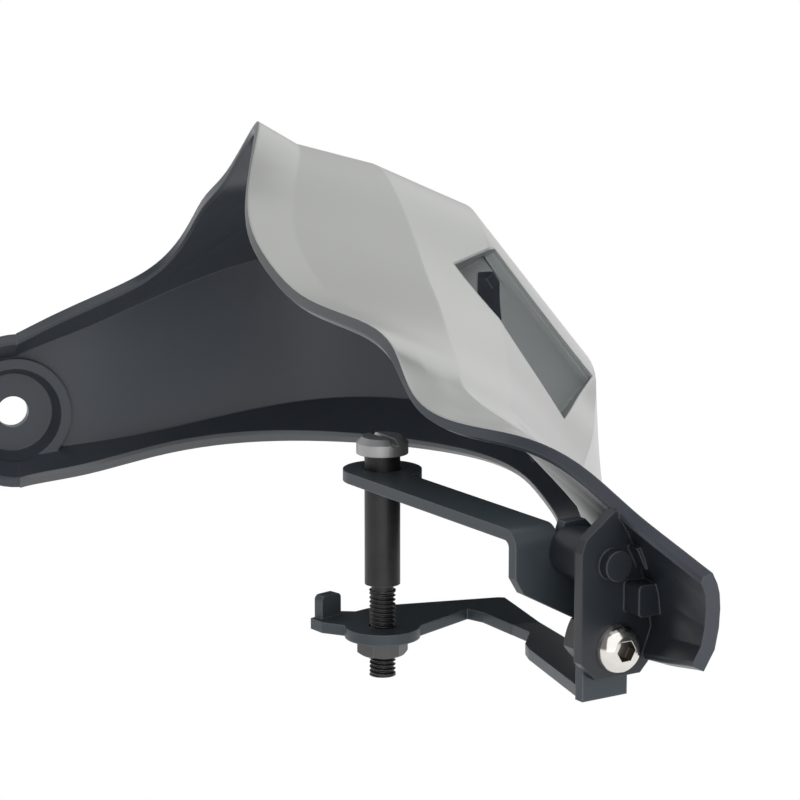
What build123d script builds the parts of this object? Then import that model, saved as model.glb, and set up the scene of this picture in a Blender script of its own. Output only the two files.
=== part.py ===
import math
import os

from build123d import *

os.makedirs("parts", exist_ok=True)

# Motorcycle hand guard, left hand side. Millimetres.
# Origin: centre of the bar-end hole on the floor of its recess. +X inboard along the grip,
# +Y forward, +Z up (the lever pivot axis).

# Overall sizes from the bar-end hole: to the end of the tail, to the front and to the hood's peak
guard_length = 256.0
guard_depth = 131.5
guard_height = 85.1

# Moulded shell
wall = 3.0
rim_height = 0.9
rim_bevel = 0.25
hub_x = 75.0

# Bar-end boss on the outboard arm
arm_centre_z = 2.4
arm_half_height = 20.6
web_half_height = 15.0
web_outer_x = 0.5
arm_edge_x = 10.0
flange_crown = 0.1
end_step = 0.15
bar_bolt_d = 8.6
recess_mouth_r = 12.6
recess_floor_r = 10.6
recess_lip = 0.8
seat_thickness = 3.5
seat_outer_r = 15.4

# Recessed panel on the front face
panel_out = Vector(0.36, 0.62, 0.70)
panel_deep = 9.5
panel_shallow = 1.0
panel_draft = 1.6
panel_back = 2.6
panel_clear = 12.0
vent_corners = ((0.74, 0.06), (0.95, 0.11), (0.92, 0.18), (0.60, 0.37), (0.40, 0.39), (0.40, 0.25))
vent_reach = 20.0

# Mounting wall of the shell, square to the fixing screws
wall_from_tail = 18.0
wall_forward = 88.0
screw_skew = 3.0
web_t = 2.5
lower_fix = (2.6, -6.3)
upper_fix = (1.0, 11.5)
boss_d = 11.0
boss_length = 14.0
peg_d = 6.4
peg_front = 2.4
block_front = 5.0
block_round = 1.0
wedge_front = 3.0
pilot_d = 4.0
pilot_depth = 9.5
m6_clear_d = 6.4

# Bracket plates
plate_t = 2.5
pivot = (165.2, 60.0)
pivot_upper_z = 17.1
pivot_lower_z = -19.0
eye_r = 8.8
lower_eye_r = 8.5
arm_w = 10.8
arm_start = 4.0
bend_in_r = 1.5
flange_overlap = 8.0
shank_hole_d = 8.4
screw_hole_d = 4.8
fold_run = 6.8
fold_near = 28.2
fold_far = 34.8
fold_overlap = 0.4
leg_rise = 3.8
leg_inset = 0.25
foot_left = -4.1
foot_right = 7.2
tab_w = 5.8
tab_height = 5.2
tab_round = 1.2
tab_place = (-12.15, -10.55)
tab_turn = 119.2

# Fasteners
shank_d = 8.0
shank_end_z = -9.2
groove_d = 5.0
groove_length = 1.5
thread_end_z = -30.4
head_d = 11.6
head_top_d = 9.0
head_h = 3.8
head_gap = 3.6
slot_w = 1.6
slot_depth = 1.5
slot_turn = 15.0
m6_d = 6.0
m6_nut_af = 10.0
pivot_nut_h = 4.0
pivot_nut_turn = 25.0
bracket_nut_h = 5.0
bracket_nut_turn = 12.0
washer_d = 13.0
washer_t = 1.2
button_d = 10.5
button_h = 3.3
button_length = 13.2
button_socket_af = 4.0
button_socket_depth = 2.1
tapping_d = 4.0
tapping_length = 8.0
tapping_head_d = 7.0
tapping_head_h = 2.6
cross_w = 0.9
cross_l = 3.8
cross_depth = 1.4


def skin_line(points, thickness):
    """Outer and inner corner points of a wall drawn by its outer points."""
    outer = [Vector(*p) for p in points]
    runs = [b - a for a, b in zip(outer, outer[1:])]
    normals = [Vector(r.Y, -r.X).normalized() * thickness for r in runs]
    inner = [outer[0] + normals[0]]
    for i in range(1, len(outer) - 1):
        d0 = runs[i - 1].normalized()
        d1 = runs[i].normalized()
        turn = math.atan2(d0.X * d1.Y - d0.Y * d1.X, d0.X * d1.X + d0.Y * d1.Y)
        inner.append(outer[i] + normals[i - 1] + d0 * (thickness * math.tan(turn / 2)))
    inner.append(outer[-1] + normals[-1])
    return outer, inner


def rim(outer, inner, away):
    """Outer and bevelled inner corner of a free edge, raised from two wall corners along away."""
    out = away.normalized() * rim_height
    return outer + out, inner + (outer - inner) * rim_bevel + out


def wall_section(points):
    """Closed section of the shell wall with its two rims, laid into the open line builder."""
    outer, inner = skin_line(points, wall)
    top, top_bevel = rim(outer[0], inner[0], outer[0] - outer[1])
    foot, foot_bevel = rim(outer[-1], inner[-1], outer[-1] - outer[-2])
    Polyline(top, *outer[1:-1], foot, foot_bevel, *reversed(inner), top_bevel, close=True)


def hub_plane(angle):
    """Upright plane through the hub line, turned to the given angle from +X."""
    a = math.radians(angle)
    along = Vector(math.cos(a), math.sin(a), 0)
    return Plane((hub_x, 0, 0), x_dir=along, z_dir=(along.Y, -along.X, 0))


def along(share):
    """Distance inboard at a share of the way from the hub line to the end of the tail."""
    return hub_x + (guard_length - hub_x) * share


def cross_plane(share):
    """Upright plane across the grip, at a share of the way from the hub line to the end of the tail."""
    return Plane((along(share), 0, 0), x_dir=(0, 1, 0), z_dir=(1, 0, 0))


def under_peak(*points):
    """Section points from their forward distance and their drop below the hood's peak."""
    return [(forward, guard_height - drop) for forward, drop in points]


def behind_front(*points):
    """Section points from their distance behind the guard's front and their height."""
    return [(guard_depth - back, height) for back, height in points]


def between(first, second, share=0.5):
    """Section points part of the way from one section to the next."""
    return [(a[0] + (b[0] - a[0]) * share, a[1] + (b[1] - a[1]) * share) for a, b in zip(first, second)]


# Sections of the outer skin, each from its upper to its lower edge:
# rim, hood lip, ridge, brow, front, sill, lower rim
root_edge = (hub_x - arm_edge_x, arm_centre_z + arm_half_height)
root_web = (hub_x - web_outer_x, arm_centre_z + web_half_height)
root_flange = [
    (x, z + flange_crown * math.sin(math.pi * share))
    for share in (0, 0.25, 0.5, 0.75, 1)
    for x, z in between([root_edge], [root_web], share)
]
root_low = [(root_web[0], arm_centre_z - web_half_height), (root_edge[0], arm_centre_z - arm_half_height)]
root = root_flange + root_low
arm = [(66.3, 30.7), (69.1, 29.2), (72, 27.6), (74.8, 26), (77.6, 24.2), (77.6, -11), (66.3, -15.6)]
bend = [(70.5, 39.5), (75, 38.4), (79.2, 37.1), (83.3, 35.3), (87, 33), (87, -8.5), (76.5, -12)]
shoulder = under_peak((56.8, 24.8), (66, 26.1), (80, 28.6)) + [(99, 51), (113.7, 43), (114.5, -1), (101, -9.2)]
corner = under_peak((50.2, 12.7), (58.5, 14.9), (78, 18.8)) + [(103, 58.8)]
corner += behind_front((1.5, 32), (1, 0), (8, -10))
peak = under_peak((49.8, 0), (59, 5.3), (79.5, 10.9)) + [(103.5, 62.5)]
peak += behind_front((0, 27), (0, -1), (8.5, -11))
hood = under_peak((42, 14.7), (52, 17.3), (81, 22.7)) + [(101, 52.6)]
hood += behind_front((4, 24), (3.2, -1), (11.5, -11.5))
hood_end = under_peak((41.6, 24.5), (51, 26.8), (79.6, 31.3)) + [(96.5, 45)]
hood_end += behind_front((11, 20.5), (8.5, -1), (16, -11.5))
waist = [(45.5, 54.6), (53.5, 53), (77.8, 49.5), (93, 40.5)]
waist += behind_front((17, 19.5), (13.5, -1), (20.5, -11.5))
lever_side = [(53.2, 51.8), (60, 49.6), (75.2, 43.9), (88.3, 36.2), (106.5, 18.2), (112, -1), (105, -11.5)]
step_top = [(59.2, 46.8), (63.8, 45.2), (73.3, 41.6), (85, 34.5), (101.4, 17.5), (108, -1), (101.3, -11.5)]
step_foot = [(61.5, 38.4), (66, 38.8), (72, 39.2), (82.8, 33), (98.8, 17), (106, -1), (99.5, -11.5)]
flank = [(77.5, 32.5), (79.5, 32.2), (82, 31.3), (87.5, 26.5), (96.5, 15), (102, -2), (97, -11.5)]
leg = [(88.5, 27.5), (89.6, 26.3), (91, 24.3), (93.5, 20), (97.5, 11), (101, -3), (98.3, -11)]
tail = [(95, 20.5), (96.3, 18.8), (97.8, 16.3), (99.7, 12), (101.8, 5), (102.6, -3.5), (100.5, -8.6)]
tail_end = [(104, 12.5), (104.7, 11), (105.2, 9), (105.4, 6), (105.2, 2), (104.4, -2.5), (102.6, -6)]
stations = [
    (hub_plane(180), root),
    (hub_plane(174), between(root, arm, 0.4)),
    (hub_plane(165), arm),
    (hub_plane(150), bend),
    (hub_plane(128), shoulder),
    (hub_plane(105), corner),
    (cross_plane(0.083), peak),
    (cross_plane(0.21), hood),
    (cross_plane(0.32), hood_end),
    (cross_plane(0.414), waist),
    (cross_plane(0.519), lever_side),
    (cross_plane(0.586), step_top),
    (cross_plane(0.63), step_foot),
    (cross_plane(0.724), flank),
    (cross_plane(0.829), leg),
    (cross_plane(0.878), between(leg, tail)),
    (cross_plane(0.923), tail),
    (cross_plane(0.961), between(tail, tail_end)),
    (cross_plane(0.983), between(tail, tail_end, 0.8)),
    (cross_plane(1), tail_end),
]

# Corners of the recessed panel: top and lower, each inboard then outboard
panel_top = (Vector(along(0.245), 89.8, 54.9), Vector(along(0.149), 104.1, 54.6))
panel_foot = (Vector(along(0.472), 104.0, 25.0), Vector(along(0.2105), guard_depth - 6.1, 23.9))


def edge_plane(ends, shift):
    """Plane across the panel through two of its corners, moved down the panel by shift, and its width."""
    run = ends[1] - ends[0]
    down = run.cross(panel_out).normalized()
    return Plane(ends[0] + down * shift, x_dir=run, z_dir=down), run.length


def floor_point(across, down):
    """Point on the recess floor, by its share across and down the panel."""
    ends = []
    for corners in (panel_top, panel_foot):
        plane, width = edge_plane(corners, 0)
        near = plane.from_local_coords((panel_draft, -panel_deep))
        far = plane.from_local_coords((width - panel_draft, -panel_shallow))
        ends.append(near + (far - near) * across)
    return ends[0] + (ends[1] - ends[0]) * down


with BuildPart() as panel_boss:
    for ends, shift in ((panel_top, -panel_back), (panel_foot, panel_back)):
        plane, width = edge_plane(ends, shift)
        with BuildSketch(plane):
            with BuildLine():
                Polyline(
                    (-panel_draft, -wall / 2),
                    (-panel_draft / 2, -panel_deep - panel_back),
                    (width - panel_draft, -panel_shallow - panel_back),
                    (width, -wall / 2),
                    close=True,
                )
            make_face()
    loft()

with BuildPart() as panel_hollow:
    for ends in (panel_top, panel_foot):
        plane, width = edge_plane(ends, 0)
        with BuildSketch(plane):
            with BuildLine():
                Polyline(
                    (0, panel_clear),
                    (0, 0),
                    (panel_draft, -panel_deep),
                    (width - panel_draft, -panel_shallow),
                    (width, 0),
                    (width, panel_clear),
                    close=True,
                )
            make_face()
    loft()

vent_plane = Plane(panel_top[0], x_dir=panel_top[1] - panel_top[0], z_dir=panel_out)
vent_outline = [vent_plane.to_local_coords(floor_point(*c)) for c in vent_corners]
with BuildPart() as panel_vent:
    with BuildSketch(vent_plane):
        with BuildLine():
            Polyline(*[(p.X, p.Y) for p in vent_outline], close=True)
        make_face()
    extrude(amount=vent_reach, both=True)

mouth_x = web_outer_x + wall + recess_lip
with BuildPart() as arm_end:
    # The arm's flange carried half round the bar-end hole, a little inside the arm's own faces
    with BuildSketch(hub_plane(180)):
        with BuildLine():
            skin = skin_line([root_edge, root_web, (root_web[0], arm_centre_z)], end_step)[1]
            skin[0] = skin[0] + (skin[1] - skin[0]).normalized() * end_step
            outer, inner = skin_line([(p.X, p.Y) for p in skin], wall - 2 * end_step)
            top, top_bevel = rim(outer[0], inner[0], outer[0] - outer[1])
            Polyline(top, *outer[1:], *reversed(inner), top_bevel, close=True)
        make_face()
    revolve(axis=Axis((0, 0, arm_centre_z), (1, 0, 0)), revolution_arc=180)
    # Thicker round pad for the bar end
    with BuildSketch(Plane.YZ.offset(-seat_thickness)):
        Circle(seat_outer_r)
    extrude(amount=mouth_x + seat_thickness)


# The screws point nearly along the line from the lever pivot to the mounting wall
wall_origin = Vector(guard_length - wall_from_tail, wall_forward, 0)
pivot_origin = Vector(*pivot, 0)
from_pivot = wall_origin - pivot_origin
screw_turn = math.atan2(from_pivot.Y, from_pivot.X) - math.radians(screw_skew)
screw_way = Vector(math.cos(screw_turn), math.sin(screw_turn), 0)
screw_side = Vector(-screw_way.Y, screw_way.X, 0)


def wall_plane(q):
    """Plane square to the fixing screws, q in front of the mounting wall's inboard face."""
    return Plane(wall_origin + screw_way * q, x_dir=screw_side, z_dir=screw_way)


wall_outline = [
    (-6.4, -8.5), (-6.6, 14.5), (-5.6, 17.2), (-1.0, 20.6), (1.6, 22.5), (4.2, 21.0), (7.4, 16.0),
    (10.2, 10.0), (12.0, 4.0), (13.0, -4.0), (11.6, -9.4), (8.6, -12.5), (-2.6, -12.5),
]
block_outline = [(4.2, 0.8), (4.2, 7.6), (10.8, 7.2), (11.6, 0.8)]
wedge_outline = [(5.0, 14.8), (7.4, 10.0), (9.8, 10.2), (7.6, 15.2)]
with BuildPart() as mount_wall:
    with BuildSketch(wall_plane(0)):
        with BuildLine():
            Polyline(*wall_outline, close=True)
        make_face()
    extrude(amount=-web_t)
    # Long blind boss for the upper screw, with a locating peg in front of it
    with BuildSketch(wall_plane(-boss_length)):
        with Locations(upper_fix):
            Circle(boss_d / 2)
    extrude(amount=boss_length - web_t / 2)
    with BuildSketch(wall_plane(-web_t / 2)):
        with Locations(upper_fix):
            Circle(peg_d / 2)
    extrude(amount=web_t / 2 + peg_front)
    with BuildSketch(wall_plane(-web_t / 2)):
        with BuildLine():
            Polyline(*block_outline, close=True)
        make_face()
        fillet(vertices(), radius=block_round)
    extrude(amount=web_t / 2 + block_front)
    with BuildSketch(wall_plane(-web_t / 2)):
        with BuildLine():
            Polyline(*wedge_outline, close=True)
        make_face()
    extrude(amount=web_t / 2 + wedge_front)

with BuildPart() as shell_hollows:
    # Dished recess and hole for the bar end
    with BuildSketch(Plane.XZ):
        with BuildLine():
            Polyline(
                (0, 0), (0, recess_floor_r), (mouth_x, recess_mouth_r), (mouth_x + wall, recess_mouth_r),
                (mouth_x + wall, 0), close=True,
            )
        make_face()
    revolve(axis=Axis.X)
    with BuildSketch(Plane.YZ.offset(-2 * seat_thickness)):
        Circle(bar_bolt_d / 2)
    extrude(amount=3 * seat_thickness)
    # Screw pilot in the long boss and clearance hole in the wall
    with BuildSketch(wall_plane(-boss_length)):
        with Locations(upper_fix):
            Circle(pilot_d / 2)
    extrude(amount=pilot_depth)
    with BuildSketch(wall_plane(-2 * web_t)):
        with Locations(lower_fix):
            Circle(m6_clear_d / 2)
    extrude(amount=3 * web_t)

with BuildPart() as guard_shell:
    for plane, points in stations:
        with BuildSketch(plane):
            with BuildLine():
                wall_section(points)
            make_face()
    loft()
    add(arm_end.part)
    add(mount_wall.part)
    add(panel_boss.part)
    add(panel_hollow.part, mode=Mode.SUBTRACT)
    add(panel_vent.part, mode=Mode.SUBTRACT)
    add(shell_hollows.part, mode=Mode.SUBTRACT)


def arm_plane(z):
    """Level plane with its origin on the lever pivot and +X along the bracket arm."""
    return Plane(pivot_origin + Vector(0, 0, z), x_dir=screw_way, z_dir=(0, 0, 1))


def arm_side_plane(y):
    """Upright plane along the bracket arm, y in front of the pivot line."""
    return Plane(pivot_origin + screw_side * y, x_dir=screw_way, z_dir=-screw_side)


# Place of the pivot seen from the mounting wall: along the screws, then across them
pivot_from_wall = wall_plane(0).to_local_coords(pivot_origin)
flange_front = -boss_length - pivot_from_wall.Z
flange_back = flange_front - plate_t
bend_out_r = bend_in_r + plate_t
bend_x = flange_front - bend_out_r
bend_z = pivot_upper_z - bend_out_r
flange_low_z = pivot_upper_z - flange_overlap
under_z = pivot_upper_z - plate_t
arm_left = pivot_from_wall.X - eye_r
flange_outline = [
    (arm_left, bend_z), (arm_left, 7.0), (-10.8, 3.6), (2.9, -3.7), (5.4, -3.7), (7.0, -2.0),
    (7.0, 15.2), (4.6, 17.6), (-0.6, 17.6), (arm_left + arm_w, bend_z),
]
with BuildPart() as upper_bracket:
    with BuildSketch(arm_plane(under_z)):
        Circle(eye_r)
        with Locations((arm_start / 2, arm_w / 2 - eye_r)):
            Rectangle(arm_start, arm_w)
    extrude(amount=plate_t)
    # Arm with its bend down into the flange
    with BuildSketch(arm_side_plane(-eye_r)):
        with BuildLine():
            Polyline((bend_x, pivot_upper_z), (0, pivot_upper_z), (0, under_z), (bend_x, under_z))
            RadiusArc((bend_x, under_z), (flange_back, bend_z), bend_in_r)
            Polyline(
                (flange_back, bend_z), (flange_back, flange_low_z),
                (flange_front, flange_low_z), (flange_front, bend_z),
            )
            RadiusArc((flange_front, bend_z), (bend_x, pivot_upper_z), -bend_out_r)
        make_face()
    extrude(amount=-arm_w)
    with BuildSketch(wall_plane(-boss_length)):
        with BuildLine():
            Polyline(*flange_outline, close=True)
        make_face()
    extrude(amount=-plate_t)
    with BuildSketch(arm_plane(pivot_upper_z)):
        Circle(shank_hole_d / 2)
    extrude(amount=-plate_t, mode=Mode.SUBTRACT)
    with BuildSketch(wall_plane(-boss_length)):
        with Locations(upper_fix):
            Circle(screw_hole_d / 2)
    extrude(amount=-plate_t, mode=Mode.SUBTRACT)

lower_under_z = pivot_lower_z - plate_t
rise = math.radians(leg_rise)
turn = math.radians(tab_turn)
eye_plane = Plane(pivot_origin + Vector(0, 0, lower_under_z))
leg_plane = Plane(
    pivot_origin + Vector(fold_run, 0, lower_under_z),
    x_dir=(math.cos(rise), 0, math.sin(rise)),
    z_dir=(-math.sin(rise), 0, math.cos(rise)),
)
tab_plane = Plane(
    pivot_origin + Vector(*tab_place, lower_under_z),
    x_dir=(math.cos(turn), math.sin(turn), 0),
    z_dir=(math.sin(turn), -math.cos(turn), 0),
)
leg_ends = [
    wall_plane(-web_t - leg_inset).from_local_coords((side, 0)) - pivot_origin - Vector(fold_run, 0, 0)
    for side in (foot_left, foot_right)
]
leg_end_z = lower_under_z + math.tan(rise) * leg_ends[1].X
# Outlines seen from the pivot, from the fold and from the mounting wall
eye_outline = [
    (-10.0, -14.2), (-5.8, -12.6), (-2.2, -8.2), (0.8, 0), (2.3, 8.0), (-8.4, 22.3), (-4.7, 24.9),
    (fold_run, fold_near), (fold_run, fold_far), (-9.7, 33.8), (-15.6, 33.4), (-16.2, 32.0), (-16.2, 7.0),
    (-14.8, 0.5), (-12.9, -3.0), (-14.3, -7.0),
]
leg_outline = [
    (-fold_overlap, fold_near), (8.6, 29.6), (11.0, 28.9), (20.0, 25.2), (25.0, 24.4),
    *[(end.X / math.cos(rise), end.Y) for end in leg_ends], (28.0, 35.6), (-fold_overlap, fold_far),
]
foot_outline = [
    (foot_left, leg_end_z), (foot_right, leg_end_z), (foot_right, -3.0), (5.0, 0.6), (-1.2, 0.6),
    (foot_left, -3.0),
]
with BuildPart() as lower_bracket:
    with BuildSketch(eye_plane):
        Circle(lower_eye_r)
        with BuildLine():
            Polyline(*eye_outline, close=True)
        make_face()
    extrude(amount=plate_t)
    # Leg to the wall, set slightly upward from the fold
    with BuildSketch(leg_plane):
        with BuildLine():
            Polyline(*leg_outline, close=True)
        make_face()
    extrude(amount=plate_t)
    with BuildSketch(wall_plane(-web_t)):
        with BuildLine():
            Polyline(*foot_outline, close=True)
        make_face()
    extrude(amount=-plate_t)
    # Stop tab turned up from the tail
    with BuildSketch(tab_plane):
        with Locations((0, (plate_t + tab_height) / 2)):
            Rectangle(tab_w, plate_t + tab_height)
        fillet(vertices().group_by(Axis.Y)[-1], radius=tab_round)
    extrude(amount=plate_t)
    with BuildSketch(Plane.XY.offset(pivot_lower_z)):
        with Locations(pivot):
            Circle(m6_clear_d / 2)
    extrude(amount=-plate_t, mode=Mode.SUBTRACT)
    with BuildSketch(wall_plane(-web_t)):
        with Locations(lower_fix):
            Circle(m6_clear_d / 2)
    extrude(amount=-plate_t, mode=Mode.SUBTRACT)

head_z = pivot_upper_z + head_gap
head_top_z = head_z + head_h
groove_end_z = shank_end_z - groove_length
with BuildPart() as pivot_bolt:
    with BuildSketch(Plane.XZ):
        with BuildLine():
            Polyline(
                (0, head_top_z), (head_top_d / 2, head_top_z), (head_d / 2, head_top_z - head_h / 3),
                (head_d / 2, head_z), (shank_d / 2, head_z), (shank_d / 2, shank_end_z),
                (groove_d / 2, shank_end_z), (groove_d / 2, groove_end_z), (m6_d / 2, groove_end_z),
                (m6_d / 2, thread_end_z), (0, thread_end_z), close=True,
            )
        make_face()
    revolve(axis=Axis.Z)
    with BuildSketch(Plane.XY.offset(head_top_z)):
        Rectangle(2 * head_d, slot_w, rotation=slot_turn)
    extrude(amount=-slot_depth, mode=Mode.SUBTRACT)


def hex_nut(height, turn):
    """M6 hexagon nut standing on the ground plane."""
    with BuildPart() as nut:
        with BuildSketch():
            RegularPolygon(m6_nut_af / 2, 6, major_radius=False, rotation=turn)
            Circle(m6_d / 2, mode=Mode.SUBTRACT)
        extrude(amount=height)
    return nut


pivot_nut = hex_nut(pivot_nut_h, pivot_nut_turn)
bracket_nut = hex_nut(bracket_nut_h, bracket_nut_turn)

with BuildPart() as bracket_bolt:
    with BuildSketch(Plane.XZ):
        with BuildLine():
            Polyline(
                (0, button_h), (button_d * 0.29, button_h), (button_d * 0.43, button_h * 0.68),
                (button_d / 2, button_h * 0.15), (button_d / 2, 0), (m6_d / 2, 0), (m6_d / 2, -button_length),
                (0, -button_length), close=True,
            )
        make_face()
    revolve(axis=Axis.Z)
    with BuildSketch(Plane.XY.offset(button_h)):
        RegularPolygon(button_socket_af / 2, 6, major_radius=False)
    extrude(amount=-button_socket_depth, mode=Mode.SUBTRACT)

with BuildPart() as bracket_washer:
    with BuildSketch():
        Circle(washer_d / 2)
        Circle(m6_clear_d / 2, mode=Mode.SUBTRACT)
    extrude(amount=washer_t)

tapping_end_z = -plate_t - tapping_length
with BuildPart() as upper_screw:
    with BuildSketch(Plane.XZ):
        with BuildLine():
            Polyline(
                (0, tapping_head_h), (tapping_head_d * 0.3, tapping_head_h),
                (tapping_head_d / 2, tapping_head_h * 0.3), (tapping_head_d / 2, 0), (tapping_d / 2, 0),
                (tapping_d / 2, tapping_end_z), (0, tapping_end_z), close=True,
            )
        make_face()
    revolve(axis=Axis.Z)
    with BuildSketch(Plane.XY.offset(tapping_head_h)):
        Rectangle(cross_l, cross_w)
        Rectangle(cross_w, cross_l)
    extrude(amount=-cross_depth, mode=Mode.SUBTRACT)

# Fasteners to their places
lower_seat = wall_plane(0).location * Location((*lower_fix, 0))
upper_seat = wall_plane(-boss_length - plate_t).location * Location((*upper_fix, 0))
washer_q = -web_t - plate_t - washer_t
pivot_bolt.part.locate(Location((*pivot, 0)))
pivot_nut.part.locate(Location((*pivot, lower_under_z - pivot_nut_h)))
bracket_bolt.part.locate(lower_seat)
bracket_washer.part.locate(lower_seat * Location((0, 0, washer_q)))
bracket_nut.part.locate(lower_seat * Location((0, 0, washer_q - bracket_nut_h)))
upper_screw.part.locate(upper_seat * Location((0, 0, 0), (180, 0, 0)))

pieces = {
    "guard_shell": guard_shell,
    "upper_bracket": upper_bracket,
    "lower_bracket": lower_bracket,
    "pivot_bolt": pivot_bolt,
    "pivot_nut": pivot_nut,
    "bracket_bolt": bracket_bolt,
    "bracket_washer": bracket_washer,
    "bracket_nut": bracket_nut,
    "upper_screw": upper_screw,
}
for name, piece in pieces.items():
    piece.part.label = name
    export_step(piece.part, f"parts/{name}.step")
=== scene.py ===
import math

import bmesh
import bpy
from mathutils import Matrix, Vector


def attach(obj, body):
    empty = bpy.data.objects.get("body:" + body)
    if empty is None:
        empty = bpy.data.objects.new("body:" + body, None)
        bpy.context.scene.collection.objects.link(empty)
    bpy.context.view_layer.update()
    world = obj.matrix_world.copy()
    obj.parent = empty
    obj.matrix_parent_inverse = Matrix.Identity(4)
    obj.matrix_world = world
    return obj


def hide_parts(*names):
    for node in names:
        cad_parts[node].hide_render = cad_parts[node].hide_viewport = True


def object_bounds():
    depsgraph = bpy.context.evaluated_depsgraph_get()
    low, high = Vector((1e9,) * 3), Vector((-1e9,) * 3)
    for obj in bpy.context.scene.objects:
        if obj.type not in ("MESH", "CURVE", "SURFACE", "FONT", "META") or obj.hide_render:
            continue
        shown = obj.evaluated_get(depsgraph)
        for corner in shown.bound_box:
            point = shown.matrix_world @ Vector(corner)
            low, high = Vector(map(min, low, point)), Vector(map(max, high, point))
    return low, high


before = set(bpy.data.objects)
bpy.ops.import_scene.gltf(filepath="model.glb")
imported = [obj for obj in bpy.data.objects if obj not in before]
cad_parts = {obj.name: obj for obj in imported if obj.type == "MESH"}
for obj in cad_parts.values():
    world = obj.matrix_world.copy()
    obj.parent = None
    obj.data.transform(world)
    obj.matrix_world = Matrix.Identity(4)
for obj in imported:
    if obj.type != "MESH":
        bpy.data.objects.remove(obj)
cad_box = [list(corner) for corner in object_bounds()]
scene = bpy.context.scene
scene.view_settings.view_transform = "Standard"

MM = 0.001

# Camera of the photograph: a long lens from the inboard side, a little behind and above
VIEW_AZIMUTH = 75.0
VIEW_ELEVATION = 11.5
CAMERA_PLACE = Vector((793.9, -104.4, 164.8)) * MM
FOCAL_MM = 135.0
SENSOR_MM = 36.0
NEAR_CLIP = 0.01

# Soft square lamps: the point that they face, and the place, size and power of each
LAMP_AIM = (0.13, 0.06, 0.03)
KEY_LAMP = ((0.35, 0.15, 1.0), 0.9, 0.9)
FILL_LAMP = ((1.2, 0.05, 0.45), 2.0, 13)

# White backdrop behind the part as the photograph's camera stands, in a dimmer room.
# Its edges are given by the x and y of the direction in which it is seen from the part.
BACKDROP_BACK = (-0.25, -0.05)
BACKDROP_SOFT = (0.34, 0.52)
BACKDROP_CUT = (0.66, 0.76)
BACKDROP_SIDE = 0.62
ROOM_GLOW = 0.22
WHITE = (1, 1, 1, 1)

# Floor, with a round patch that shows the part's shadow, and how white the floor is in its middle
FLOOR_SIZE = 8
FLOOR_DROP = 0.16
FLOOR_X = 0.1
FLOOR_TONE = (0.86, 0.86, 0.86, 1)
SHADOW_REACH = (0.20, 0.34)
SHADOW_WHITE = 0.8

# Threads, button head and nuts. THREAD_DEPTH is a share of the pitch, NUT_FACE of the width across flats.
M6_RADIUS = 3.0 * MM
M6_PITCH = 1.0 * MM
THREAD_TOLERANCE = 0.05 * MM
THREAD_STEPS = 10
THREAD_SIDES = 40
THREAD_DEPTH = 0.6
THREAD_FLANK = 1.2
DOME_SIDES = 96
DOME_STEPS = 12
DOME_TILT = (0.1, 0.95)
DOME_DIGITS = 6
NUT_SIDES = 72
NUT_FACE = 0.96
NUT_CHAMFER = 30.0
FLAT_FACE = 0.999
SIDE_TILT = 0.1

# Depth below a bolt's top, and distance from its axis, within which faces get the second material
PIVOT_HEAD = (3.9 * MM, 6.0 * MM)
BUTTON_SOCKET = (2.9 * MM, 2.25 * MM)

# Angles, in degrees, above which an edge is shaded sharp
PLAIN_SHARP = 35
FASTENER_SHARP = 30
SHELL_SHARP = 50

# How the outside of the shell is told from its inside, its rims and its lugs
HAND = Vector((0.075, 0.010, 0.010))
STRIP_LENGTH = 0.15
RIM_AREA = 800e-6
PANEL_LOW = (0.095, 0.080, 0.015)
PANEL_HIGH = (0.165, 0.130, 0.062)
PANEL_MIDDLE = Vector((0.124, 0.106, 0.040))
VENT_AREA = 35e-6
VENT_LENGTH = 0.02
RIM_HEIGHT = 0.03
ARM_END_X = 0.02
TAIL_END_X = 0.245
TAIL_END_FACES = 0.7
INSIDE, OUTSIDE, PANEL, RIM, LOW_RIM = range(5)

# In the finishes below, a noise is given by its scale and detail, a relief by its depth, its strength
# and the radius to which edges look rounded, and lighter edges by their radius and the most lightening:
# wear on the oxide, wear and a painted highlight on the coating, and a painted highlight on the plastic.
# NOISE_SPAN is the range of a noise that counts. EDGE_TURN is how far the normal of a rounded edge
# agrees with the face's own where the lightening begins and where it is full.
NOISE_SPAN = (0.1, 0.9)
EDGE_TURN = (0.93, 0.80)
BEVEL_SAMPLES = 6
GLOSS_IOR = 1.5

# Bare plastic, and the lengths between which it darkens from the arm to the tail, a painted shade
PLASTIC_GRAIN = (2600, 2)
PLASTIC_FLOW = (28, 4)
PLASTIC_RELIEF = (0.02 * MM, 0.25, 0.6 * MM)
PLASTIC_ROUGH = (0.28, 0.38)
# Painted highlight: the plastic's edges are lightened towards a pale grey, standing in for the glints
# along them
PLASTIC_EDGE_GLINT = (0.6 * MM, 0.22)
PLASTIC_GLINT_TONE = (0.26, 0.27, 0.29)
ARM_TONES = ((0.041, 0.048, 0.061), (0.060, 0.070, 0.087))
TAIL_SHADE_TONES = ((0.013, 0.017, 0.023), (0.020, 0.025, 0.033))
TAIL_SHADE_LENGTHS = (0.085, 0.16)

# Painted sheen on the rims, a grey that stands in for the reflection on their faces: it fades in and out
# between these lengths
HOOD_RIM_SHEEN = (0.075, 0.090, 0.178, 0.190)
ARM_RIM_SHEEN = (-0.030, -0.020, 0.060, 0.110)
RIM_SHEEN_TONE = (0.13, 0.135, 0.145)

# Satin paint, darker in the recessed panel as painted shade: two tones, how metallic it is, and its least
# roughness
PAINT_MOTTLE = (16, 4)
PAINT_PEEL = (900, 2)
PAINT_FLAKE = (5200, 1)
PAINT_RELIEF = (0.03 * MM, 0.2, 1.0 * MM)
PAINT_ROUGHER = 0.08
FLAKE_SHARE = 0.2
FLAKE_TONE = (0.66, 0.67, 0.66)
SILVER = ((0.52, 0.53, 0.52), (0.57, 0.58, 0.56), 0.75, 0.26)
PANEL_SHADE_GREY = ((0.19, 0.21, 0.21), (0.24, 0.26, 0.26), 0.25, 0.42)

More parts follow.
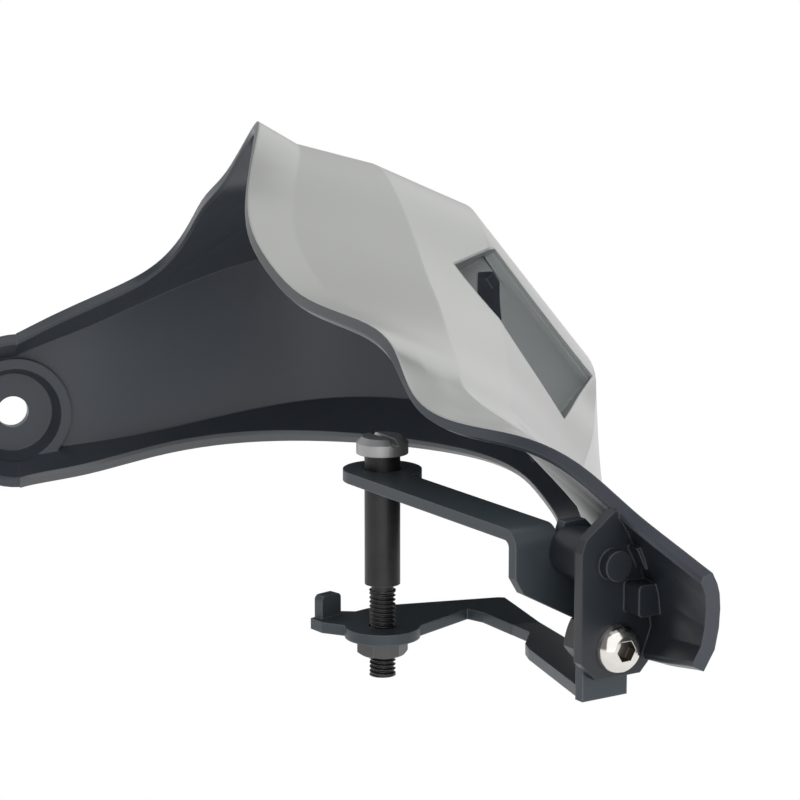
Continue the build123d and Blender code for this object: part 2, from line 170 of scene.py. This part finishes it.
# Coating of the bracket plates
COATING_TOOTH = (1800, 3)
COATING_CLOUD = (60, 4)
COATING_RELIEF = (0.03 * MM, 0.35, 0.35 * MM)
COATING_ROUGH = (0.36, 0.48)
# Lighter edges on the coating: wear, and a painted highlight standing in for the light lines along the
# plates' edges
COATING_WEAR_AND_GLINT = (0.5 * MM, 0.8)
COATING_WEAR_GLINT_TONE = (0.23, 0.24, 0.25)
COATING_TONES = ((0.044, 0.057, 0.068), (0.068, 0.084, 0.098))
COATING_METAL = 0.25

# Black oxide, brighter on the nuts, and on the pivot bolt's head worn and brighter still as a painted
# highlight
OXIDE_CLOUD = (220, 4)
OXIDE_TOOTH = (3000, 2)
OXIDE_RELIEF = (0.02 * MM, 0.3, 0.25 * MM)
OXIDE_ROUGH = (0.32, 0.48)
OXIDE_RUB = (0.3 * MM, 0.6)
OXIDE_RUB_TONE = (0.38, 0.38, 0.37)
OXIDE_METAL = 0.8
OXIDE_GREYS = (0.030, 0.062)
NUT_GREYS = (0.075, 0.125)
HEAD_WEAR_AND_HIGHLIGHT_GREYS = (0.34, 0.50)

# Stainless steel, rougher in the head's socket and darker there as painted shade: two tones and its least
# roughness
STAINLESS_CLOUD = (500, 3)
STAINLESS_RELIEF = (0.01 * MM, 0.2, 0.3 * MM)
STAINLESS_ROUGHER = 0.1
POLISHED = ((0.72, 0.69, 0.65), (0.83, 0.80, 0.76), 0.10)
SOCKET_SHADE_TONES = ((0.10, 0.09, 0.08), (0.22, 0.20, 0.18), 0.30)


def make_camera():
    """Camera at the photograph's place, without roll."""
    a, e = math.radians(VIEW_AZIMUTH), math.radians(VIEW_ELEVATION)
    back = Vector((math.sin(a) * math.cos(e), -math.cos(a) * math.cos(e), math.sin(e)))
    data = bpy.data.cameras.new("camera")
    data.lens = FOCAL_MM
    data.sensor_width = SENSOR_MM
    data.clip_start = NEAR_CLIP
    camera = bpy.data.objects.new("camera", data)
    camera.location = CAMERA_PLACE
    camera.rotation_mode = "QUATERNION"
    camera.rotation_quaternion = (-back).to_track_quat("-Z", "Y")
    scene.collection.objects.link(camera)
    scene.camera = camera


def make_lamp(name, place, size, power):
    """Soft square lamp at place, turned towards the part."""
    data = bpy.data.lights.new(name, "AREA")
    data.shape = "SQUARE"
    data.size = size
    data.energy = power
    lamp = bpy.data.objects.new(name, data)
    lamp.location = place
    lamp.rotation_mode = "QUATERNION"
    lamp.rotation_quaternion = (Vector(LAMP_AIM) - Vector(place)).to_track_quat("-Z", "Y")
    scene.collection.objects.link(lamp)


class Nodes:
    """Short way to add and link shader nodes of one material or world."""

    def __init__(self, owner):
        owner.use_nodes = True
        self.tree = owner.node_tree
        self.tree.nodes.clear()

    def add(self, kind, **inputs):
        node = self.tree.nodes.new(kind)
        for key, value in inputs.items():
            self.put(node, key, value)
        return node

    def put(self, node, key, value):
        """Sets an input, or links it where value is another node's output."""
        socket = node.inputs[key] if isinstance(key, int) else node.inputs[key.replace("_", " ")]
        if isinstance(value, bpy.types.NodeSocket):
            self.tree.links.new(value, socket)
        else:
            socket.default_value = value

    def math(self, operation, a, b):
        node = self.add("ShaderNodeMath")
        node.operation = operation
        self.put(node, 0, a)
        self.put(node, 1, b)
        return node.outputs[0]

    def ramp(self, value, low, high, first, last):
        """Number that runs from first to last as value goes from low to high."""
        node = self.add("ShaderNodeMapRange")
        for key, number in (("From Min", low), ("From Max", high), ("To Min", first), ("To Max", last)):
            node.inputs[key].default_value = number
        self.put(node, "Value", value)
        return node.outputs[0]

    def blend(self, share, first, last):
        """Colour between two colours."""
        node = self.add("ShaderNodeMix")
        node.data_type = "RGBA"
        self.put(node, 0, share)
        for key, colour in ((6, first), (7, last)):
            self.put(node, key, colour if isinstance(colour, bpy.types.NodeSocket) else (*colour, 1.0))
        return node.outputs[2]

    def place(self):
        """Place of a point in the object's own coordinates."""
        return self.add("ShaderNodeTexCoord").outputs["Object"]

    def noise(self, scale, detail):
        node = self.add("ShaderNodeTexNoise", Scale=scale, Detail=detail)
        self.put(node, "Vector", self.place())
        return node.outputs["Fac"]

    def bump(self, height, distance, strength, edge):
        """Normal with a fine relief, over edges rounded by the radius edge."""
        soft = self.add("ShaderNodeBevel", Radius=edge)
        soft.samples = BEVEL_SAMPLES
        node = self.add("ShaderNodeBump", Height=height, Distance=distance, Strength=strength)
        self.put(node, "Normal", soft.outputs[0])
        return node.outputs[0]

    def edge_wear_and_glint(self, radius, most):
        """Share of edge lightening, most along the edges of the solid and none on its open faces: wear on
        the oxide, wear and a painted highlight on the coating, a painted highlight on the plastic.
        """
        turn = self.add("ShaderNodeVectorMath")
        turn.operation = "DOT_PRODUCT"
        self.put(turn, 0, self.add("ShaderNodeBevel", Radius=radius).outputs[0])
        self.put(turn, 1, self.add("ShaderNodeNewGeometry").outputs["Normal"])
        return self.ramp(turn.outputs["Value"], *EDGE_TURN, 0, most)

    def surface(self, colour, roughness, normal, **fixed):
        """Ends a material in a principled shader; fixed holds what is the same all over."""
        shader = self.add("ShaderNodeBsdfPrincipled", **fixed)
        self.put(shader, "Base Color", colour)
        self.put(shader, "Roughness", roughness)
        self.put(shader, "Normal", normal)
        self.finish(shader)

    def finish(self, shader):
        end = self.add("ShaderNodeOutputMaterial")
        self.put(end, "Surface", shader.outputs[0])


def white_seen(nodes, shade, seen_share):
    """Mix of a shader and plain white for rays from the camera, from gloss and through glass."""
    path = nodes.add("ShaderNodeLightPath")
    seen = nodes.math("MAXIMUM", path.outputs["Is Camera Ray"], path.outputs["Is Glossy Ray"])
    seen = nodes.math("MAXIMUM", seen, path.outputs["Is Transmission Ray"])
    seen = nodes.math("MULTIPLY", seen, seen_share)
    white = nodes.add("ShaderNodeEmission", Color=WHITE, Strength=1.0)
    mix = nodes.add("ShaderNodeMixShader")
    nodes.put(mix, 0, seen)
    nodes.put(mix, 1, shade.outputs[0])
    nodes.put(mix, 2, white.outputs[0])
    return mix


def make_stage():
    """White backdrop, and a pale floor below the part, which is held up by its mounts."""
    world = bpy.data.worlds.new("studio")
    scene.world = world
    nodes = Nodes(world)
    way = nodes.add("ShaderNodeSeparateXYZ")
    nodes.put(way, 0, nodes.add("ShaderNodeTexCoord").outputs["Generated"])
    behind = nodes.ramp(way.outputs["X"], *BACKDROP_BACK, 1, 0)
    ahead = nodes.ramp(way.outputs["Y"], *BACKDROP_SOFT, BACKDROP_SIDE, 1)
    short = nodes.ramp(way.outputs["Y"], *BACKDROP_CUT, 1, 0)
    glow = nodes.math("MULTIPLY", nodes.math("MULTIPLY", ahead, short), behind)
    glow = nodes.math("MAXIMUM", glow, ROOM_GLOW)
    path = nodes.add("ShaderNodeLightPath")
    strength = nodes.math("MAXIMUM", glow, path.outputs["Is Camera Ray"])
    sky = nodes.add("ShaderNodeBackground", Color=WHITE, Strength=strength)
    nodes.put(nodes.add("ShaderNodeOutputWorld"), "Surface", sky.outputs[0])

    place = (FLOOR_X, 0, cad_box[0][2] - FLOOR_DROP)
    bpy.ops.mesh.primitive_plane_add(size=FLOOR_SIZE, location=place)
    floor = bpy.context.object
    floor.name = "floor"
    material = bpy.data.materials.new("pale_floor")
    nodes = Nodes(material)
    pale = nodes.add("ShaderNodeBsdfDiffuse", Color=FLOOR_TONE)
    away = nodes.add("ShaderNodeVectorMath")
    away.operation = "LENGTH"
    nodes.put(away, 0, nodes.place())
    share = nodes.ramp(away.outputs["Value"], *SHADOW_REACH, SHADOW_WHITE, 1)
    nodes.finish(white_seen(nodes, pale, share))
    floor.data.materials.append(material)


def plastic_black(name, rim_sheen=None):
    """Bare blue-black moulded plastic with a fine grain and faint flow marks.

    It is darker towards the tail, a painted shade, or else carries a grey painted sheen between the four
    lengths given.
    """
    material = bpy.data.materials.new(name)
    nodes = Nodes(material)
    grain = nodes.noise(*PLASTIC_GRAIN)
    flow = nodes.noise(*PLASTIC_FLOW)
    split = nodes.add("ShaderNodeSeparateXYZ")
    nodes.put(split, 0, nodes.place())
    length = split.outputs["X"]
    colour = nodes.blend(flow, *ARM_TONES)
    # Painted sheen: grey on the rim between the four lengths
    if rim_sheen:
        start, full, fade, end = rim_sheen
        risen = nodes.ramp(length, start, full, 0, 1)
        share = nodes.math("MULTIPLY", risen, nodes.ramp(length, fade, end, 1, 0))
        colour = nodes.blend(share, colour, RIM_SHEEN_TONE)
    else:
        # Painted shade: the plastic turns darker towards the tail
        tail_shade = nodes.blend(flow, *TAIL_SHADE_TONES)
        colour = nodes.blend(nodes.ramp(length, *TAIL_SHADE_LENGTHS, 0, 1), colour, tail_shade)
    # Painted highlight: edges lightened towards a pale grey
    colour = nodes.blend(nodes.edge_wear_and_glint(*PLASTIC_EDGE_GLINT), colour, PLASTIC_GLINT_TONE)
    roughness = nodes.ramp(flow, *NOISE_SPAN, *PLASTIC_ROUGH)
    nodes.surface(colour, roughness, nodes.bump(grain, *PLASTIC_RELIEF), IOR=GLOSS_IOR)
    return material


def satin_paint(name, low, high, metal, smoothest):
    """Satin paint between two tones of grey, with a soft mottle, fine flakes and orange peel."""
    material = bpy.data.materials.new(name)
    nodes = Nodes(material)
    mottle = nodes.noise(*PAINT_MOTTLE)
    peel = nodes.noise(*PAINT_PEEL)
    flake = nodes.noise(*PAINT_FLAKE)
    colour = nodes.blend(nodes.ramp(mottle, *NOISE_SPAN, 0, 1), low, high)
    colour = nodes.blend(nodes.ramp(flake, *NOISE_SPAN, 0, FLAKE_SHARE), colour, FLAKE_TONE)
    roughness = nodes.ramp(mottle, *NOISE_SPAN, smoothest, smoothest + PAINT_ROUGHER)
    nodes.surface(colour, roughness, nodes.bump(peel, *PAINT_RELIEF), IOR=GLOSS_IOR, Metallic=metal)
    return material


def coated_steel():
    """Blue-black coating on the bracket plates, satin, with a fine tooth, and edges lightened as wear and
    as a painted highlight.
    """
    material = bpy.data.materials.new("coated_steel")
    nodes = Nodes(material)
    tooth = nodes.noise(*COATING_TOOTH)
    cloud = nodes.noise(*COATING_CLOUD)
    colour = nodes.blend(cloud, *COATING_TONES)
    # Edges lightened: wear and a painted highlight
    colour = nodes.blend(nodes.edge_wear_and_glint(*COATING_WEAR_AND_GLINT), colour, COATING_WEAR_GLINT_TONE)
    roughness = nodes.ramp(cloud, *NOISE_SPAN, *COATING_ROUGH)
    normal = nodes.bump(tooth, *COATING_RELIEF)
    nodes.surface(colour, roughness, normal, IOR=GLOSS_IOR, Metallic=COATING_METAL)
    return material


def oxide_steel(name, low, high):
    """Oiled black oxide between two greys, rubbed brighter along the edges."""
    material = bpy.data.materials.new(name)
    nodes = Nodes(material)
    cloud = nodes.noise(*OXIDE_CLOUD)
    tooth = nodes.noise(*OXIDE_TOOTH)
    colour = nodes.blend(cloud, [low] * 3, [high] * 3)
    colour = nodes.blend(nodes.edge_wear_and_glint(*OXIDE_RUB), colour, OXIDE_RUB_TONE)
    roughness = nodes.ramp(cloud, *NOISE_SPAN, *OXIDE_ROUGH)
    nodes.surface(colour, roughness, nodes.bump(tooth, *OXIDE_RELIEF), Metallic=OXIDE_METAL)
    return material


def stainless(name, low, high, smoothest):
    """Stainless steel between two tones, clouded a little."""
    material = bpy.data.materials.new(name)
    nodes = Nodes(material)
    cloud = nodes.noise(*STAINLESS_CLOUD)
    colour = nodes.blend(cloud, low, high)
    roughness = nodes.ramp(cloud, *NOISE_SPAN, smoothest, smoothest + STAINLESS_ROUGHER)
    nodes.surface(colour, roughness, nodes.bump(cloud, *STAINLESS_RELIEF), Metallic=1.0)
    return material


def give(node, material):
    """Puts a material on a CAD node and smooths its round faces."""
    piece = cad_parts[node]
    piece.data.materials.clear()
    piece.data.materials.append(material)
    smooth(piece, PLAIN_SHARP)


def smooth(piece, angle):
    """Smooth shading, except at edges sharper than angle."""
    for polygon in piece.data.polygons:
        polygon.use_smooth = True
    piece.data.set_sharp_from_angle(angle=math.radians(angle))


def islands(mesh):
    """Lists of polygons that hang together: one list for each face of the CAD solid."""
    parent = list(range(len(mesh.vertices)))

    def top(i):
        while parent[i] != i:
            parent[i] = parent[parent[i]]
            i = parent[i]
        return i

    for edge in mesh.edges:
        a, b = edge.vertices
        parent[top(a)] = top(b)
    groups = {}
    for polygon in mesh.polygons:
        groups.setdefault(top(polygon.vertices[0]), []).append(polygon)
    return groups.values()


def area_of(group):
    return sum(polygon.area for polygon in group)


def middle_of(group):
    return sum((polygon.center * polygon.area for polygon in group), Vector()) / area_of(group)


def normal_of(group):
    return sum((polygon.normal * polygon.area for polygon in group), Vector()) / area_of(group)


def is_flat(group):
    return normal_of(group).length > FLAT_FACE


def dress(node, mesh, materials):
    """Shows a mesh in place of a CAD node."""
    piece = bpy.data.objects.new(node + "_dressed", mesh)
    piece.matrix_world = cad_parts[node].matrix_world.copy()
    scene.collection.objects.link(piece)
    for material in materials:
        mesh.materials.append(material)
    smooth(piece, FASTENER_SHARP)
    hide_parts(node)
    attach(piece, "root")


def ring_points(tip, axis, side, along, radius):
    """Points round an axis at equal turns, each at its own distance along the axis and radius."""
    across = axis.cross(side)
    count = len(radius)
    points = []
    for j in range(count):
        a = 2 * math.pi * j / count
        points.append(tip + axis * along[j] + (side * math.cos(a) + across * math.sin(a)) * radius[j])
    return points


def skin_rings(bm, rings, closed=False):
    """Quads between rings of points, and from the last ring to the first if closed."""
    rows = [[bm.verts.new(point) for point in ring] for ring in rings]
    pairs = list(zip(rows, rows[1:])) + ([(rows[-1], rows[0])] if closed else [])
    for low, high in pairs:
        for j in range(len(low)):
            k = (j + 1) % len(low)
            bm.faces.new((low[j], low[k], high[k], high[j]))


def thread_rings(tip, axis, side, start, stop):
    """Rings of an M6 thread between two distances from the tip, cut less deep at both ends."""
    rows = math.ceil((stop - start) / M6_PITCH * THREAD_STEPS)
    rings = []
    for i in range(rows + 1):
        along = start + (stop - start) * i / rows
        fade = min(1.0, i / THREAD_STEPS, (rows - i) / THREAD_STEPS)
        radius = []
        for j in range(THREAD_SIDES):
            phase = (along / M6_PITCH + j / THREAD_SIDES) % 1.0
            cut = min(1.0, THREAD_FLANK * abs(2 * phase - 1)) * THREAD_DEPTH * M6_PITCH * fade
            radius.append(M6_RADIUS - cut)
        rings.append(ring_points(tip, axis, side, [along] * THREAD_SIDES, radius))
    return rings


def dome_rings(mesh, cones, tip, axis, side):
    """Rings of a smooth dome through the ends of the two cones that stand for it, from its foot up."""
    levels = {}
    for cone in cones:
        places = [mesh.vertices[v].co - tip for polygon in cone for v in polygon.vertices]
        for end in (min, max):
            place = end(places, key=axis.dot)
            along = place.dot(axis)
            levels[round(along, DOME_DIGITS)] = (along, (place - axis * along).length)
    foot, shoulder, crown = (Vector(levels[key]) for key in sorted(levels))
    rings = []
    for i in range(DOME_STEPS + 1):
        t = i / DOME_STEPS
        along, radius = foot * (1 - t) * (1 - 2 * t) + shoulder * 4 * t * (1 - t) + crown * t * (2 * t - 1)
        rings.append(ring_points(tip, axis, side, [along] * DOME_SIDES, [radius] * DOME_SIDES))
    return rings


def thread_bolt(node, materials, slot, depth, reach_in, dome=False):
    """Shows a bolt with a helical thread in place of its plain M6 end.

    Its faces within depth of the top and reach_in of the axis get the second material.
    With dome, the two cones of its head become one smooth curve.
    """
    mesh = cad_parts[node].data
    groups = list(islands(mesh))
    disc = math.pi * M6_RADIUS**2
    end = min((g for g in groups if is_flat(g)), key=lambda g: abs(area_of(g) - disc))
    tip = middle_of(end)
    axis = -normal_of(end).normalized()
    side = axis.orthogonal().normalized()

    def reach(group):
        """Distances from the tip of a group on the thread's cylinder, or None."""
        points = [mesh.vertices[v].co - tip for polygon in group for v in polygon.vertices]
        if any(abs((p - axis * p.dot(axis)).length - M6_RADIUS) > THREAD_TOLERANCE for p in points):
            return None
        return min(p.dot(axis) for p in points), max(p.dot(axis) for p in points)

    plain = max((g for g in groups if reach(g)), key=lambda g: reach(g)[1] - reach(g)[0])
    low, high = DOME_TILT
    cones = [g for g in groups if dome and low < normal_of(g).dot(axis) < high]

    bm = bmesh.new()
    bm.from_mesh(mesh)
    bm.faces.ensure_lookup_table()
    gone = [bm.faces[polygon.index] for group in (plain, *cones) for polygon in group]
    bmesh.ops.delete(bm, geom=gone, context="FACES")
    skin_rings(bm, thread_rings(tip, axis, side, *reach(plain)))
    if dome:
        skin_rings(bm, dome_rings(mesh, cones, tip, axis, side))
    top = max((v.co - tip).dot(axis) for v in bm.verts)
    for face in bm.faces:
        place = face.calc_center_median() - tip
        along = place.dot(axis)
        face.material_index = int(top - along < depth and (place - axis * along).length < reach_in)
    threaded = bpy.data.meshes.new(node + "_threaded")
    bm.to_mesh(threaded)
    bm.free()
    dress(node, threaded, materials)


def chamfer_nut(node, material):
    """Shows a hexagon nut with its corners turned off at both ends."""
    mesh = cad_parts[node].data
    groups = sorted(islands(mesh), key=area_of, reverse=True)
    ends = [g for g in groups if is_flat(g)]
    ends = sorted(ends, key=lambda g: abs(normal_of(g).dot(normal_of(ends[0]))), reverse=True)[:2]
    axis = normal_of(ends[1]).normalized()
    foot, top = middle_of(ends[0]), middle_of(ends[1])
    height = (top - foot).length
    flat = next(g for g in groups if is_flat(g) and abs(normal_of(g).dot(axis)) < SIDE_TILT)
    side = normal_of(flat).normalized()
    half = (middle_of(flat) - foot).dot(side)
    bore = min((v.co - foot - axis * (v.co - foot).dot(axis)).length for v in mesh.vertices)

    turns = [2 * math.pi * j / NUT_SIDES for j in range(NUT_SIDES)]
    hexagon = [half / math.cos((a + math.pi / 6) % (math.pi / 3) - math.pi / 6) for a in turns]
    face = [half * NUT_FACE] * NUT_SIDES
    drop = [(h - half * NUT_FACE) * math.tan(math.radians(NUT_CHAMFER)) for h in hexagon]
    level = [0.0] * NUT_SIDES
    full = [height] * NUT_SIDES
    hole = [bore] * NUT_SIDES
    profile = [
        (level, hole), (level, face), (drop, hexagon),
        ([height - d for d in drop], hexagon), (full, face), (full, hole),
    ]
    bm = bmesh.new()
    skin_rings(bm, [ring_points(foot, axis, side, *line) for line in profile], closed=True)
    turned = bpy.data.meshes.new(node + "_turned")
    bm.to_mesh(turned)
    bm.free()
    dress(node, turned, [material])


def shell_finish(group, mesh):
    """Finish of a face of the shell, OUTSIDE where it looks away from the hand."""
    centre = middle_of(group)
    normal = normal_of(group)
    area = area_of(group)
    xs = [mesh.vertices[v].co.x for polygon in group for v in polygon.vertices]
    length = max(xs) - min(xs)
    if length < STRIP_LENGTH:
        if centre.x > TAIL_END_X and normal.x > TAIL_END_FACES:
            return RIM
        if all(low < c < high for low, c, high in zip(PANEL_LOW, centre, PANEL_HIGH)):
            vent_wall = area < VENT_AREA and length < VENT_LENGTH
            return PANEL if normal.dot(PANEL_MIDDLE - centre) > 0 and not vent_wall else INSIDE
        return OUTSIDE if centre.x < ARM_END_X and normal.dot(centre - HAND) > 0 else INSIDE
    if area < RIM_AREA:
        return RIM if centre.z > RIM_HEIGHT else LOW_RIM
    out = 0.0
    for polygon in group:
        hand = Vector((max(polygon.center.x, HAND.x), HAND.y, HAND.z))
        out += polygon.area * polygon.normal.dot((polygon.center - hand).normalized())
    return OUTSIDE if out > 0 else INSIDE


def paint_shell(node, finishes):
    """Gives each face of the shell one of the finishes, which come in the order from INSIDE to LOW_RIM."""
    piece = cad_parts[node]
    mesh = piece.data
    mesh.materials.clear()
    for material in finishes:
        mesh.materials.append(material)
    for group in islands(mesh):
        finish = shell_finish(group, mesh)
        for polygon in group:
            polygon.material_index = finish
    smooth(piece, SHELL_SHARP)


make_camera()
make_stage()
make_lamp("key", *KEY_LAMP)
make_lamp("fill", *FILL_LAMP)

steel = coated_steel()
oxide = oxide_steel("black_oxide", *OXIDE_GREYS)
nut_oxide = oxide_steel("nut_oxide", *NUT_GREYS)
# The pivot bolt's head: worn, and a brighter grey as a painted highlight
head_wear_and_highlight = oxide_steel("head_wear_and_highlight", *HEAD_WEAR_AND_HIGHLIGHT_GREYS)
polished = stainless("polished_stainless", *POLISHED)
# Painted shade: darker steel in the button head's socket
socket = stainless("socket_shade_steel", *SOCKET_SHADE_TONES)
for name in ("upper_bracket", "lower_bracket"):
    give(name, steel)
for name in ("bracket_washer", "upper_screw"):
    give(name, oxide)
for name in ("pivot_nut", "bracket_nut"):
    chamfer_nut(name, nut_oxide)
thread_bolt("pivot_bolt", (oxide, head_wear_and_highlight), "black_oxide", *PIVOT_HEAD)
thread_bolt("bracket_bolt", (polished, socket), "stainless", *BUTTON_SOCKET, dome=True)
paint_shell(
    "guard_shell",
    (
        plastic_black("black_plastic"),
        satin_paint("silver_paint", *SILVER),
        # Painted shade: darker grey paint in the recessed panel
        satin_paint("panel_shade_paint", *PANEL_SHADE_GREY),
        # Rims with a painted sheen of grey
        plastic_black("rim_plastic", HOOD_RIM_SHEEN),
        plastic_black("low_rim_plastic", ARM_RIM_SHEEN),
    ),
)
